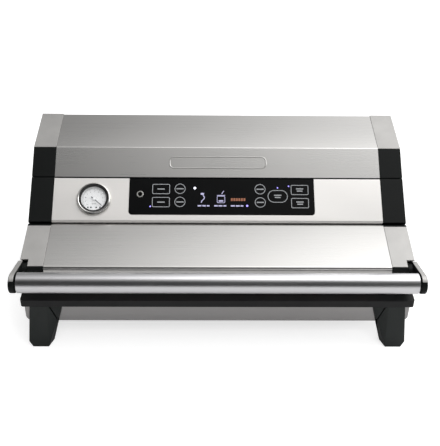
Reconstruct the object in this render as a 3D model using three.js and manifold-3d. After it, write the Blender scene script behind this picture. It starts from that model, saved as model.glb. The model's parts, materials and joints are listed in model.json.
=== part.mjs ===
// A countertop vacuum sealer: a wedge-shaped steel machine on two tall front legs, with a sloping
// console, a hinged lid over the sealing bed and a bar across the front that presses the lid shut.
// Millimetres. +X is the user's right, -Y is towards the user, +Z is up. The origin lies on the
// worktop under the middle of the machine.
import * as THREE from 'three';
import { mergeVertices } from 'three/addons/utils/BufferGeometryUtils.js';
import { ConvexGeometry } from 'three/addons/geometries/ConvexGeometry.js';
import Module from 'manifold-3d';

const wasm = await Module();
wasm.setup();

// ---------------------------------------------------------------- driving dimensions

const GAP = 0.3; // between neighbouring pieces
const SHEET = 1.2; // steel covers
const BEND = 2.4; // outer radius of a folded edge
const LID_BEND = 4; // outer radius of the fold along the lid's front
const HALF = 215; // half the body's width
const END_CAP = 26.5; // width of each end cap
const STEEL = HALF - END_CAP; // half-width of the steel covers
const CAP_IN = STEEL + GAP; // inner face of an end cap
const TRIM = 1.5; // thickness of the silver plates on the end caps

// The side profile, [y, z], from the top rear edge down to the lid's front edge.
const REAR_TOP = [120.3, 176.8];
const HOOD_FOLD = [53.7, 167.8];
const BAND_FOOT = [23.5, 144.5];
const CONSOLE_FOOT = [-22.9, 111.1];
const LID_EDGE = [-87.8, 99.3];

const JOINT_LINE = 1; // height of the dark line between the hood and the console
const UNDERSIDE = 26; // height of the lower body's floor
const TRAY_FOOT = 57; // underside of the black tray
const TRAY_TOP = 66;
const TRAY_FRONT = -103;
const LOWER_FRONT = -90;
const REAR = 118.3; // outer face of the rear panel

const HINGE = [-24, 104.5]; // the lid's axis, [y, z]
const LID_RADIUS = 6.3; // rounding of the lid's rear edge about that axis
const HINGE_PIN = 2.5; // radius
const LID_FOOT = 77.5; // underside of the lid's frame
const LID_CAP_FOOT = 68; // underside of the lid's end caps

const PIVOT = [-81, 90.5]; // the handle's axis, [y, z]
const PIVOT_PIN = 3;
const HUB = 8.5;
const BAR = [-109.1, 96]; // centre of the handle tube
const BAR_RADIUS = 11;
const BAR_WALL = 2;
const BAR_HALF = 212.2;
const ARM_THICK = 6.6;
const ARM_BACK = 10.6; // radius of the arms' rear ends
const ARM_SPLAY = 0.055; // the arms lean outwards towards the bar
const NOTCH_IN = 206; // inner wall of the end caps' notches
const NOTCH_BACK = -69.9;
const TRIM_NOTCH_BACK = -75.5; // the silver plate reaches further over the notch than the cap below it
const TRIM_SHORT = 2.5; // the lid's silver plates end this far behind its front edge

const SEAL_Y = -81; // middle of the heat-seal bar
const SEAL_HALF = 178;

const consoleTilt = Math.atan2(BAND_FOOT[1] - CONSOLE_FOOT[1], BAND_FOOT[0] - CONSOLE_FOOT[0]);
const consoleLength = Math.hypot(BAND_FOOT[0] - CONSOLE_FOOT[0], BAND_FOOT[1] - CONSOLE_FOOT[1]);
const lidTilt = Math.atan2(HINGE[1] + LID_RADIUS - LID_EDGE[1], HINGE[0] - LID_EDGE[0]);

// ---------------------------------------------------------------- tools

/** A closed manifold solid of a three.js geometry. */
function solidOf(geometry) {
  const bare = geometry.clone();
  bare.deleteAttribute('normal');
  bare.deleteAttribute('uv');
  const merged = mergeVertices(bare, 1e-4);
  return new wasm.Manifold(new wasm.Mesh({
    numProp: 3,
    vertProperties: new Float32Array(merged.attributes.position.array),
    triVerts: new Uint32Array(merged.index.array),
  }));
}

function geometryOf(solid) {
  const mesh = solid.getMesh();
  const geometry = new THREE.BufferGeometry();
  geometry.setAttribute('position', new THREE.BufferAttribute(mesh.vertProperties, 3));
  geometry.setIndex(new THREE.BufferAttribute(mesh.triVerts, 1));
  geometry.computeVertexNormals();
  return geometry;
}

const cut = (base, ...tools) => geometryOf(tools.reduce((s, t) => s.subtract(solidOf(t)), solidOf(base)));
const join = (base, ...more) => geometryOf(more.reduce((s, t) => s.add(solidOf(t)), solidOf(base)));

/** The same piece on the other side of the machine, its triangles turned to face out again. */
function mirrored(geometry) {
  const other = mergeVertices(geometry.clone().scale(-1, 1, 1), 1e-4);
  const index = other.index.array;
  for (let i = 0; i < index.length; i += 3) [index[i], index[i + 1]] = [index[i + 1], index[i]];
  return other;
}

function shapeOf(outline) {
  if (outline instanceof THREE.Shape) return outline;
  return new THREE.Shape(outline.map(([a, b]) => new THREE.Vector2(a, b)));
}

const prism = (outline, depth) =>
  new THREE.ExtrudeGeometry(shapeOf(outline), { depth, bevelEnabled: false, curveSegments: 3 });

/** A side outline of [y, z] points, carried across from x0 to x1. */
function acrossX(outline, x0, x1) {
  const turn = new THREE.Matrix4().makeBasis(
    new THREE.Vector3(0, 1, 0), new THREE.Vector3(0, 0, 1), new THREE.Vector3(1, 0, 0));
  return prism(outline, x1 - x0).applyMatrix4(turn).translate(x0, 0, 0);
}

/** A front outline of [x, z] points, carried back from y0 to y1. */
const alongY = (outline, y0, y1) => prism(outline, y1 - y0).rotateX(Math.PI / 2).translate(0, y1, 0);

/** A plan outline of [x, y] points, carried up from z0 to z1. */
const upZ = (outline, z0, z1) => prism(outline, z1 - z0).translate(0, 0, z0);

const block = ([x0, x1], [y0, y1], [z0, z1]) =>
  new THREE.BoxGeometry(x1 - x0, y1 - y0, z1 - z0).translate((x0 + x1) / 2, (y0 + y1) / 2, (z0 + z1) / 2);

/** A cylinder along one axis between two places; centre gives the other two coordinates. */
function rod(axis, radius, from, to, [a, b], sides = 32) {
  const cylinder = new THREE.CylinderGeometry(radius, radius, to - from, sides);
  const middle = (from + to) / 2;
  if (axis === 'x') return cylinder.rotateZ(-Math.PI / 2).translate(middle, a, b);
  if (axis === 'y') return cylinder.translate(a, middle, b);
  return cylinder.rotateX(Math.PI / 2).translate(a, b, middle);
}

/** A turned piece about Z from [radius, z] points. */
const turned = (profile, sides = 36) =>
  new THREE.LatheGeometry(profile.map(([r, z]) => new THREE.Vector2(r, z)), sides).rotateX(Math.PI / 2);

function arc([y, z], radius, from, to, steps) {
  const points = [];
  for (let i = 0; i <= steps; i += 1) {
    const angle = THREE.MathUtils.degToRad(from + ((to - from) * i) / steps);
    points.push([y + radius * Math.cos(angle), z + radius * Math.sin(angle)]);
  }
  return points;
}

/** The same line with its inner corners rounded, all alike or each with its own radius; 0 stays sharp. */
function rounded(points, radii, steps = 4) {
  const vectors = points.map(([a, b]) => new THREE.Vector2(a, b));
  const out = [vectors[0]];
  for (let i = 1; i < vectors.length - 1; i += 1) {
    const corner = vectors[i];
    const radius = Array.isArray(radii) ? radii[i - 1] : radii;
    if (radius === 0) {
      out.push(corner);
      continue;
    }
    const back = vectors[i - 1].clone().sub(corner).normalize();
    const ahead = vectors[i + 1].clone().sub(corner).normalize();
    const half = Math.acos(back.dot(ahead)) / 2;
    const middle = back.clone().add(ahead).normalize().multiplyScalar(radius / Math.sin(half)).add(corner);
    const start = back.multiplyScalar(radius / Math.tan(half)).add(corner).sub(middle);
    const end = ahead.multiplyScalar(radius / Math.tan(half)).add(corner).sub(middle);
    const sweep = Math.atan2(start.cross(end), start.dot(end));
    for (let k = 0; k <= steps; k += 1) {
      out.push(start.clone().rotateAround(new THREE.Vector2(), (sweep * k) / steps).add(middle));
    }
  }
  out.push(vectors[vectors.length - 1]);
  return out.map((p) => [p.x, p.y]);
}

/** A bent sheet seen from its edge: the outer line, and the same line set in to its left. */
function sheetEdge(points, thickness = SHEET) {
  const normals = points.slice(1).map(([a, b], i) => {
    const run = Math.hypot(a - points[i][0], b - points[i][1]);
    return [-(b - points[i][1]) / run, (a - points[i][0]) / run];
  });
  const inner = points.map(([a, b], i) => {
    const [p, q] = [normals[Math.max(i - 1, 0)], normals[Math.min(i, normals.length - 1)]];
    const scale = thickness / (1 + p[0] * q[0] + p[1] * q[1]);
    return [a + (p[0] + q[0]) * scale, b + (p[1] + q[1]) * scale];
  });
  return [...points, ...inner.reverse()];
}

/** The room for a plate let into a slope: its strip, deeper by a gap, open above and past both ends. */
function plateRoom([y0, z0], [y1, z1], before, after) {
  const run = Math.hypot(y1 - y0, z1 - z0);
  const [dy, dz] = [(y1 - y0) / run, (z1 - z0) / run];
  const lifted = (y, z) => [y + dz, z - dy];
  const room = [lifted(y0 - dy * before, z0 - dz * before), lifted(y1 + dy * after, z1 + dz * after)];
  return acrossX(sheetEdge(room, TRIM + GAP + 1), CAP_IN - 1, HALF + 1);
}

/** A rectangle with round corners, centred on [x, y]. */
function roundRect([x, y], width, height, radius) {
  const [w, h] = [width / 2 - radius, height / 2 - radius];
  const shape = new THREE.Shape();
  shape.absarc(x + w, y + h, radius, 0, Math.PI / 2);
  shape.absarc(x - w, y + h, radius, Math.PI / 2, Math.PI);
  shape.absarc(x - w, y - h, radius, Math.PI, 1.5 * Math.PI);
  shape.absarc(x + w, y - h, radius, 1.5 * Math.PI, 2 * Math.PI);
  return shape;
}

/** A flat ring between two round-cornered rectangles, from z0 to z1. */
function gasketRing(centre, width, height, band, z0, z1) {
  const outer = roundRect(centre, width, height, band + 2);
  outer.holes.push(roundRect(centre, width - 2 * band, height - 2 * band, 2));
  return upZ(outer, z0, z1);
}

/** A hose of many-sided section along a smooth curve. */
function hose(points, radius, steps, sides = 8) {
  const section = shapeOf(arc([0, 0], radius, 0, 360 - 360 / sides, sides - 1));
  const path = new THREE.CatmullRomCurve3(points.map((p) => new THREE.Vector3(...p)));
  return new THREE.ExtrudeGeometry(section, { extrudePath: path, steps, bevelEnabled: false });
}

/** The outline of a link: two discs and the two lines that touch both. */
function linkOutline([y1, z1], r1, [y2, z2], r2) {
  const lean = Math.atan2(z2 - z1, y2 - y1);
  const open = Math.acos((r1 - r2) / Math.hypot(y2 - y1, z2 - z1));
  const [a, b] = [THREE.MathUtils.radToDeg(lean), THREE.MathUtils.radToDeg(open)];
  return [...arc([y1, z1], r1, a + b, a + 360 - b, 14), ...arc([y2, z2], r2, a - b, a + b, 14)];
}

const steel = () => new THREE.MeshStandardMaterial({ color: 0xc9c7c3, roughness: 0.32, metalness: 1 });
const silver = () => new THREE.MeshStandardMaterial({ color: 0xb9b5b1, roughness: 0.45, metalness: 0.6 });
const black = () => new THREE.MeshStandardMaterial({ color: 0x1b1d1d, roughness: 0.35, metalness: 0 });
const rubber = () => new THREE.MeshStandardMaterial({ color: 0x141414, roughness: 0.9, metalness: 0 });
const zinc = () => new THREE.MeshStandardMaterial({ color: 0x9a9a96, roughness: 0.5, metalness: 1 });

function add(parent, name, geometry, material) {
  const mesh = new THREE.Mesh(geometry, material);
  mesh.name = name;
  parent.add(mesh);
  return mesh;
}

/** A right-hand piece and its mirror image. */
function addPair(parent, name, geometry, finish) {
  add(parent, `${name}_right`, geometry, finish());
  add(parent, `${name}_left`, mirrored(geometry), finish());
}

// ---------------------------------------------------------------- base

const LOWER_BACK = REAR - 1;
const LOWER_CORNER = 7; // radius of the lower body's bottom corners

/** The lower body's four walls, rolled in at the bottom along both sides. */
function lowerBody() {
  const height = TRAY_FOOT - UNDERSIDE;
  const front = roundRect([0, TRAY_FOOT], 2 * HALF - 1, 2 * height, LOWER_CORNER);
  const outside = alongY(front, LOWER_FRONT, LOWER_BACK);
  const above = block([-HALF, HALF], [LOWER_FRONT - 1, REAR], [TRAY_FOOT, TRAY_FOOT + height + 1]);
  const inside = [LOWER_FRONT + SHEET, LOWER_BACK - SHEET];
  const lane = HALF - LOWER_CORNER;
  const through = block([-lane, lane], inside, [UNDERSIDE - 1, TRAY_FOOT + 1]);
  const side = block([lane - 0.1, HALF - 0.5 - SHEET], inside, [UNDERSIDE + LOWER_CORNER, TRAY_FOOT + 1]);
  return cut(outside, above, through, side, mirrored(side));
}

/** The floor plate that closes the lower body, with its cooling slots. */
function bottomPlate() {
  const lane = HALF - LOWER_CORNER - GAP;
  const run = [LOWER_FRONT + SHEET + GAP, LOWER_BACK - SHEET - GAP];
  const slots = [];
  for (let i = -4; i <= 4; i += 1) {
    slots.push(block([i * 14 - 2, i * 14 + 2], [6, 56], [UNDERSIDE - 1, UNDERSIDE + 3]));
  }
  return cut(block([-lane, lane], run, [UNDERSIDE + GAP, UNDERSIDE + GAP + SHEET]), ...slots);
}

function baseTray() {
  const rear = REAR - 0.6;
  const middle = (TRAY_FRONT + rear) / 2;
  const slab = upZ(roundRect([0, middle], 2 * HALF, rear - TRAY_FRONT, 3), TRAY_FOOT + GAP, TRAY_TOP);
  const wall = block([-STEEL + 1, STEEL - 1], [-15.4, -13.4], [TRAY_TOP - 1, 104]);
  const drip = upZ(roundRect([0, -53.5], 333, 26, 5), 58.3, TRAY_TOP + 1);
  const groove = gasketRing([0, -53.5], 352.6, 42.6, 6.6, 64, TRAY_TOP + 1);
  const sealLane = SEAL_HALF + GAP;
  const sealSlot = block([-sealLane, sealLane], [SEAL_Y - 4.3, SEAL_Y + 4.3], [63, TRAY_TOP + 1]);
  const airHole = block([-70, 40], [6, 32], [TRAY_FOOT, TRAY_TOP + 1]);
  return cut(join(slab, wall), drip, groove, sealSlot, airHole);
}

function dripTray() {
  const outside = upZ(roundRect([0, -53.5], 332, 25, 4.7), 58.6, 67);
  return cut(outside, upZ(roundRect([0, -53.5], 330, 23, 3.7), 59.6, 68));
}

/** One front leg: a tapered block whose inner corner is planed off, with a short seam near its top. */
function frontLeg() {
  const corners = [];
  const ring = (z, outer, edge, inner, front, rear) => [
    [outer, front, z], [edge, front, z], [inner, front + 12, z], [inner, rear, z], [outer, rear, z],
  ].forEach((p) => corners.push(new THREE.Vector3(...p)));
  ring(TRAY_FOOT, 205.5, 187, 170, TRAY_FRONT + 0.4, -72);
  ring(8, 211.3, 189.2, 183.8, TRAY_FRONT - 1.6, -88);
  ring(0, 207.5, 190, 185.6, TRAY_FRONT - 2, -88.5);
  const behind = block([160, 220], [LOWER_FRONT - GAP, -60], [UNDERSIDE - GAP, TRAY_FOOT + 1]);
  const steep = THREE.MathUtils.degToRad(-75);
  const diagonal = new THREE.BoxGeometry(25, 16, 1).rotateY(steep).translate(181, -99, 43);
  return cut(new ConvexGeometry(corners), behind, diagonal);
}

const rearFoot = () => cut(
  upZ(roundRect([185, 92], 34, 26, 6), 0, UNDERSIDE - GAP),
  new THREE.BoxGeometry(50, 10, 60).rotateX(-0.25).translate(185, 74.5, 10));

function addBase(machine) {
  add(machine, 'lower_body', lowerBody(), steel());
  add(machine, 'bottom_plate', bottomPlate(), steel());
  add(machine, 'base_tray', baseTray(), black());
  add(machine, 'drip_tray', dripTray(), steel());
  add(machine, 'lower_gasket', gasketRing([0, -53.5], 352, 42, 6, 64.3, 71.3), rubber());
  const along = [-SEAL_HALF, SEAL_HALF];
  add(machine, 'seal_bar', block(along, [SEAL_Y - 4, SEAL_Y + 4], [63.3, 69.3]), zinc());
  add(machine, 'heating_element', block([-175, 175], [SEAL_Y - 1.2, SEAL_Y + 1.2], [69.6, 70]), steel());
  add(machine, 'sealing_tape', block(along, [SEAL_Y - 4, SEAL_Y + 4], [70.3, 70.7]), rubber());
  addPair(machine, 'front_leg', frontLeg(), black);
  addPair(machine, 'rear_foot', rearFoot(), rubber);
}

// ---------------------------------------------------------------- hood and console shell

const bandFootAt = (z) => {
  const [[y0, z0], [y1, z1]] = [BAND_FOOT, HOOD_FOLD];
  return [y0 + ((z - z0) * (y1 - y0)) / (z1 - z0), z];
};

function addHood(machine) {
  const foot = BAND_FOOT[1] + JOINT_LINE / 2;
  const front = bandFootAt(foot);
  const line = [[REAR_TOP[0], foot], REAR_TOP, HOOD_FOLD, front, [front[0] + 9, foot]];
  add(machine, 'hood_cover', acrossX(sheetEdge(rounded(line, [BEND, BEND, 0])), -STEEL, STEEL), steel());

  const plate = sheetEdge([REAR_TOP, HOOD_FOLD], TRIM);
  const outline = [[REAR_TOP[0], foot], REAR_TOP, HOOD_FOLD, front];
  const cap = cut(acrossX(outline, CAP_IN, HALF), plateRoom(REAR_TOP, HOOD_FOLD, 5, GAP));
  addPair(machine, 'hood_end_cap', cap, black);
  addPair(machine, 'hood_trim', acrossX(plate, CAP_IN, HALF), silver);
}

function consoleCap() {
  const top = BAND_FOOT[1] - JOINT_LINE / 2;
  const slope = (BAND_FOOT[0] - CONSOLE_FOOT[0]) / (BAND_FOOT[1] - CONSOLE_FOOT[1]);
  const onSlope = (z) => [CONSOLE_FOOT[0] + (z - CONSOLE_FOOT[1]) * slope, z];
  return acrossX([
    [REAR_TOP[0], TRAY_TOP + GAP], [REAR_TOP[0], top], onSlope(top), onSlope(CONSOLE_FOOT[1] + 1.7),
    ...arc(HINGE, LID_RADIUS + 0.8, 48, 0, 5), [HINGE[0] + LID_RADIUS + 0.8, TRAY_TOP + GAP],
  ], CAP_IN, HALF);
}

function rearPanel() {
  const plate = block([-STEEL, STEEL], [REAR - SHEET, REAR], [TRAY_TOP + GAP, BAND_FOOT[1] - JOINT_LINE]);
  const through = [REAR - 3, REAR + 1];
  const slots = [];
  for (let i = 0; i < 8; i += 1) {
    slots.push(block([-145, -95], through, [82.5 + i * 6.5, 85.5 + i * 6.5]));
  }
  const inlet = block([116.7, 144.3], through, [80.7, 101.3]);
  const rocker = block([83.7, 98.3], through, [81.2, 100.8]);
  return cut(plate, ...slots, inlet, rocker);
}

function addShell(machine) {
  addPair(machine, 'console_end_cap', consoleCap(), black);
  add(machine, 'rear_panel', rearPanel(), steel());
  const post = join(
    rod('x', 4.5, 176, 182, HINGE, 24),
    block([176, 182], [HINGE[0] - 4.5, HINGE[0] + 4.5], [TRAY_TOP + GAP, HINGE[1]]));
  addPair(machine, 'hinge_bracket', cut(post, rod('x', HINGE_PIN + GAP, 170, 190, HINGE, 24)), zinc);
}

// ---------------------------------------------------------------- console: gauge and touch panel
// In this group +Y runs up the slope from its foot and +Z points out of it.

const GAUGE = [-142, 30.5];
const GAUGE_RADIUS = 20;
const PORT = [-89.3, 36.2];
const DISPLAY = { left: -101.8, right: 111, foot: 11.8, top: consoleLength - 1.4, corner: 4 };

function displayOutline(grow) {
  const { left, right, foot, top, corner } = DISPLAY;
  const line = [[left - grow, top + 20], [left - grow, foot - grow], [right + grow, foot - grow],
    [right + grow, top + 20]];
  return rounded(line, corner);
}

function fascia() {
  const top = consoleLength - JOINT_LINE / 2 / Math.sin(consoleTilt);
  const line = rounded([[top, -9], [top, 0], [4.9, 0], [2.8, -1.6], [2.8, -8]], [0, 0.7, 0.7]);
  return cut(acrossX(sheetEdge(line), -STEEL, STEEL),
    rod('z', GAUGE_RADIUS - 1.7, -4, 4, GAUGE), upZ(displayOutline(GAP), -12, 4));
}

function displayPanel() {
  const plate = upZ(displayOutline(0), -2.4, 0.5);
  const above = block([-150, 150], [DISPLAY.top, DISPLAY.top + 40], [-5, 5]);
  return cut(plate, above, rod('z', 3.6, -5, 5, PORT, 24));
}

function addGauge(console) {
  const gauge = new THREE.Group();
  gauge.position.set(...GAUGE, 0);
  console.add(gauge);
  const inner = GAUGE_RADIUS - 5.3;
  const crest = GAUGE_RADIUS - 2.9;
  add(gauge, 'gauge_case', turned([
    [0, -22], [inner + 2.6, -22], [inner + 2.6, -0.4], [inner + 1.2, -0.4], [inner + 1.2, -2], [0, -2],
  ]), zinc());
  add(gauge, 'gauge_bezel', turned([
    [inner, GAP], [GAUGE_RADIUS, GAP], [GAUGE_RADIUS, 1.4], [crest + 0.9, 3.9], [crest, 4.2],
    [crest - 0.9, 3.9], [inner, 2.9], [inner, GAP],
  ]), steel());
  add(gauge, 'gauge_dial', turned([[0, -1.7], [inner + 0.9, -1.7], [inner + 0.9, -1.1], [0, -1.1]]),
    new THREE.MeshStandardMaterial({ color: 0xe9e9ea, roughness: 0.6, metalness: 0 }));
  add(gauge, 'gauge_glass', turned([[0, 1.9], [inner - GAP, 1.9], [inner - GAP, 2.7], [0, 2.7]]),
    new THREE.MeshStandardMaterial({ color: 0xf2f6f8, roughness: 0.05, metalness: 0 }));
  const pointer = upZ([[-4.2, -0.9], [-4.2, 0.9], [0, 0.7], [12.3, 0.15], [12.3, -0.15], [0, -0.7]], 0, 0.5);
  const needle = join(pointer, rod('z', 1.7, -0.7, 1, [0, 0], 20));
  add(gauge, 'gauge_needle', needle, black()).rotation.z = THREE.MathUtils.degToRad(-40);
}

function addConsole(machine) {
  const console = new THREE.Group();
  console.position.set(0, ...CONSOLE_FOOT);
  console.rotation.x = consoleTilt;
  machine.add(console);
  add(console, 'control_fascia', fascia(), steel());
  add(console, 'display_panel', displayPanel(),
    new THREE.MeshStandardMaterial({ color: 0x050606, roughness: 0.12, metalness: 0 }));
  add(console, 'control_board', block([-78, 104], [14, 46], [-11, -9.4]),
    new THREE.MeshStandardMaterial({ color: 0x1d5a35, roughness: 0.6, metalness: 0 }));
  const port = turned([[2.6, -8], [3.3, -8], [3.3, 0.8], [4.1, 0.8], [4.1, 1.5], [3.7, 1.9], [2.6, 1.9],
    [2.6, -8]], 24);
  port.translate(...PORT, 0);
  add(console, 'accessory_port', port, steel());
  addGauge(console);
}

// ---------------------------------------------------------------- inside

const FAN = { x: -120, z: 106.5, size: 60, rotor: 26.5 };
const MOTOR_AXIS = [62, 94]; // [y, z]

function fanFrame() {
  const { x, z, size, rotor } = FAN;
  const [y0, y1] = [100, 115];
  const square = alongY(roundRect([x, z], size, size, 4), y0, y1);
  const frame = cut(square, rod('y', rotor + 1.2, y0 - 1, y1 + 1, [x, z]));
  const arm = (angle) => new THREE.BoxGeometry(2 * rotor + 4, 2.5, 3.5)
    .rotateY(angle).translate(x, y0 + 1.25, z);
  return join(frame, arm(0), arm(Math.PI / 3), arm(-Math.PI / 3), rod('y', 10, y0, y0 + 2.5, [x, z]));
}

function fanRotor() {
  const { x, z, rotor } = FAN;
  const blades = 7;
  let fan = rod('y', 10.5, 104, 113.5, [x, z], 28);
  for (let i = 0; i < blades; i += 1) {
    const blade = new THREE.BoxGeometry(1.2, 9.5, rotor - 9.5).rotateZ(0.6)
      .translate(0, 0, 9.5 + (rotor - 9.5) / 2 - 0.5);
    fan = join(fan, blade.rotateY((2 * Math.PI * i) / blades).translate(x, 108.7, z));
  }
  return fan;
}

function pump() {
  const [y, z] = MOTOR_AXIS;
  const house = block([-78, -22], [y - 24, y + 24], [TRAY_TOP + GAP, z + 20]);
  const head = rod('z', 17, z + 19, z + 30, [-50, y], 28);
  const nipple = rod('z', 3, z + 29, z + 38, [-50, y], 16);
  return join(house, head, nipple, rod('y', 3, y - 32, y - 23, [-60, 84], 16));
}

function motor() {
  const [y, z] = MOTOR_AXIS;
  const barrel = rod('x', 20, -21.5, 44, MOTOR_AXIS, 32);
  const foot = block([-15, 38], [y - 18, y + 18], [TRAY_TOP + GAP, z - 12]);
  return join(barrel, foot, rod('x', 8, 43, 50, [y, z], 20));
}

function transformer() {
  const core = block([82, 142], [34, 84], [TRAY_TOP + GAP, TRAY_TOP + 48]);
  const winding = roundRect([112, 59], 40, 66, 8);
  return join(core, upZ(winding, TRAY_TOP + 7, TRAY_TOP + 41));
}

function powerInlet() {
  const [x, z] = [130.5, 91];
  const flange = alongY(roundRect([x, z], 34, 27, 3), REAR + GAP, REAR + 1.8);
  const body = block([x - 13.5, x + 13.5], [REAR - 20, REAR + 1], [z - 10, z + 10]);
  const socket = alongY(roundRect([x, z], 23, 16, 2.5), REAR - 15, REAR + 3);
  const pins = [[-7, -2], [0, 2], [7, -2]].map(([dx, dz]) =>
    block([x + dx - 1, x + dx + 1], [REAR - 16, REAR - 4], [z + dz - 2.4, z + dz + 2.4]));
  return join(cut(join(flange, body), socket), ...pins);
}

const ROCKER = { x: 91, y: REAR - 2.2, z: 91 };

function switchFrame() {
  const { x, z } = ROCKER;
  const flange = alongY(roundRect([x, z], 19, 24, 2), REAR + GAP, REAR + 1.6);
  const body = block([x - 7, x + 7], [REAR - 16, REAR + 1], [z - 9.5, z + 9.5]);
  return cut(join(flange, body), block([x - 5.7, x + 5.7], [REAR - 7.5, REAR + 3], [z - 8.4, z + 8.4]));
}

/** The rocker: a bar with a shallow V face, its upper half in. */
function rocker() {
  const { x, y, z } = ROCKER;
  const outline = [[-2.4, -7], [2.4, -7], [3.1, 0], [1.9, 7], [-2.4, 7], [-4, 0]];
  return acrossX(outline.map(([a, b]) => [y + a, z + b]), x - 5.3, x + 5.3);
}

function addInside(machine) {
  add(machine, 'fan_frame', fanFrame(), black());
  add(machine, 'cooling_fan', fanRotor(), black());
  add(machine, 'vacuum_pump', pump(), zinc());
  add(machine, 'pump_motor', motor(), steel());
  add(machine, 'transformer', transformer(), zinc());
  add(machine, 'power_inlet', powerInlet(), black());
  add(machine, 'switch_frame', switchFrame(), black());
  add(machine, 'power_rocker', rocker(), black());
  const [y, z] = MOTOR_AXIS;
  add(machine, 'vacuum_hose', hose([
    [-60, y - 32.6, 84], [-60, 22, 84], [-62, 10, 82], [-66, 1, 76], [-67, -3, 71], [-67, -3, TRAY_TOP + 0.4],
  ], 3.4, 18), rubber());
  add(machine, 'gauge_tube', hose([
    [-142, 16, 109.5], [-139, 24, 104], [-120, 40, 110], [-85, 56, 132], [-60, 61, 143],
    [-51, y, z + 46], [-50, y, z + 38.6],
  ], 2.2, 26), rubber());
}

// ---------------------------------------------------------------- lid

const slopeOut = [-Math.sin(lidTilt), Math.cos(lidTilt)];
const rollTop = 90 + THREE.MathUtils.radToDeg(lidTilt);

function lidCover() {
  const roll = arc(HINGE, LID_RADIUS, 42, rollTop, 6);
  const front = rounded([roll[roll.length - 1], LID_EDGE, [LID_EDGE[0] - 0.4, LID_FOOT + 2]], LID_BEND, 6);
  return acrossX(sheetEdge([...roll.slice(0, -1), ...front]), -STEEL, STEEL);
}

/** The notch that an arm turns in, open to the front and side. */
const armNotch = () => join(
  acrossX([[NOTCH_BACK, 130], [NOTCH_BACK, 80.5], [-64.5, 66], [-105, 66], [-105, 130]], NOTCH_IN, HALF + 5),
  acrossX([[NOTCH_BACK, 81], [-64.5, 66], [-105, 66], [-105, 81]], NOTCH_IN - 2.4, NOTCH_IN + 1));

function lidTrimLine() {
  const start = [HINGE[0] + slopeOut[0] * LID_RADIUS, HINGE[1] + slopeOut[1] * LID_RADIUS];
  return [start, [LID_EDGE[0] + TRIM_SHORT * slopeOut[1], LID_EDGE[1] - TRIM_SHORT * slopeOut[0]]];
}

function lidCap() {
  const top = [HINGE[0], HINGE[1] + LID_RADIUS + 0.2];
  const front = rounded([top, LID_EDGE, [LID_EDGE[0] - 0.6, LID_CAP_FOOT]], 3);
  const outline = [
    [HINGE[0] + LID_RADIUS, LID_CAP_FOOT], ...arc(HINGE, LID_RADIUS, 0, rollTop, 8),
    ...front.slice(1),
  ];
  return cut(acrossX(outline, CAP_IN, HALF), plateRoom(...lidTrimLine(), GAP, GAP), armNotch(),
    rod('x', HINGE_PIN + GAP, CAP_IN - 1, 205, HINGE, 24),
    rod('x', PIVOT_PIN + GAP, 195, NOTCH_IN + 1, PIVOT, 24),
    rod('x', 7.2, 199, NOTCH_IN + 1, PIVOT, 28));
}

function lidFrame() {
  const [back, front] = [-32, LID_EDGE[0] + SHEET + 0.4];
  const under = (y) => LID_EDGE[1] + (y - LID_EDGE[0]) * Math.tan(lidTilt) - SHEET - 0.6;
  const side = [[back, LID_FOOT], [back, under(back)], [front + 2, under(front)], [front, under(front) - 2.4],
    [front, LID_FOOT]];
  const hollow = block([-STEEL + 3.5, STEEL - 3.5], [front + 2.5, back - 2.5], [LID_FOOT + 3, 130]);
  return cut(acrossX(side, -STEEL + 0.5, STEEL - 0.5), hollow);
}

/** A torsion spring: a few turns of wire about the handle's axis. */
function handleSpring() {
  const [turns, perTurn, radius] = [3, 12, 5.4];
  const points = [];
  for (let i = 0; i <= turns * perTurn; i += 1) {
    const angle = (2 * Math.PI * i) / perTurn;
    points.push([200 + (5 * i) / (turns * perTurn), PIVOT[0] + radius * Math.cos(angle),
      PIVOT[1] + radius * Math.sin(angle)]);
  }
  return hose(points, 0.55, turns * perTurn, 5);
}

function addLid(machine) {
  const lid = new THREE.Group();
  machine.add(lid);
  add(lid, 'lid_cover', lidCover(), steel());
  addPair(lid, 'lid_end_cap', lidCap(), black);
  const aboveArm = block([NOTCH_IN, HALF + 1], [-105, TRIM_NOTCH_BACK], [80, 130]);
  const trim = cut(acrossX(sheetEdge(lidTrimLine(), TRIM), CAP_IN, HALF), aboveArm);
  addPair(lid, 'lid_trim', trim, silver);
  add(lid, 'lid_frame', lidFrame(), black());
  add(lid, 'upper_gasket', gasketRing([0, -53.5], 352, 42, 6, 71.6, LID_FOOT - GAP), rubber());
  const strip = block([-SEAL_HALF, SEAL_HALF], [SEAL_Y - 4, SEAL_Y + 4], [71.1, LID_FOOT - GAP]);
  add(lid, 'pressure_strip', strip, rubber());
  addPair(lid, 'lid_hinge_pin', rod('x', HINGE_PIN, 174, 204, HINGE, 24), zinc);
  addPair(lid, 'handle_pivot_pin', rod('x', PIVOT_PIN, 195.5, BAR_HALF - 1, PIVOT, 24), zinc);
  addPair(lid, 'handle_spring', handleSpring(), steel);
  return lid;
}

// ---------------------------------------------------------------- handle and its latches

const HOOK = { inner: 18.4, outer: 21.6, from: -126, tip: -88, x: [207.3, 211.3] };
const STRIKER = arc(PIVOT, 16, -75, -75, 1)[0];

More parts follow.
